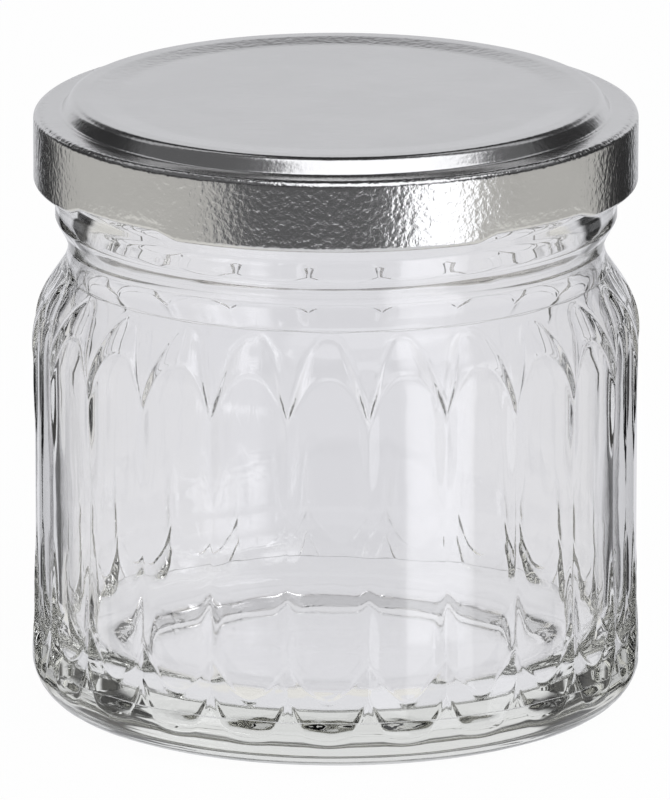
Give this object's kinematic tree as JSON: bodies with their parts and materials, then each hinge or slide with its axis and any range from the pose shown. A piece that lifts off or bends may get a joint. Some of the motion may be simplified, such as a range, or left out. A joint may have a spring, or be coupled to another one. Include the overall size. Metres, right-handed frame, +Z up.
{
  "type": "empty glass canning jar with twist-off lid",
  "caption": "Squat round clear glass jar with tall arched panels pressed around its wall, closed by a silver twist-off tinplate lid.",
  "frame": {"origin": "centre of the base, on the plane that the jar stands on", "axes": "+Z up along the jar's axis, -Y towards the front, +X to the right seen from the front"},
  "size_m": [0.0692, 0.0692, 0.0703],
  "materials": {
    "glass": "clear pressed flint glass, fire polished",
    "tinplate": "satin silver lacquered tinplate",
    "sealing_compound": "matt cream sealing compound"
  },
  "bodies": {
    "root": {"jar": "glass", "lid": "tinplate", "seal": "sealing_compound"}
  },
  "joints": []
}
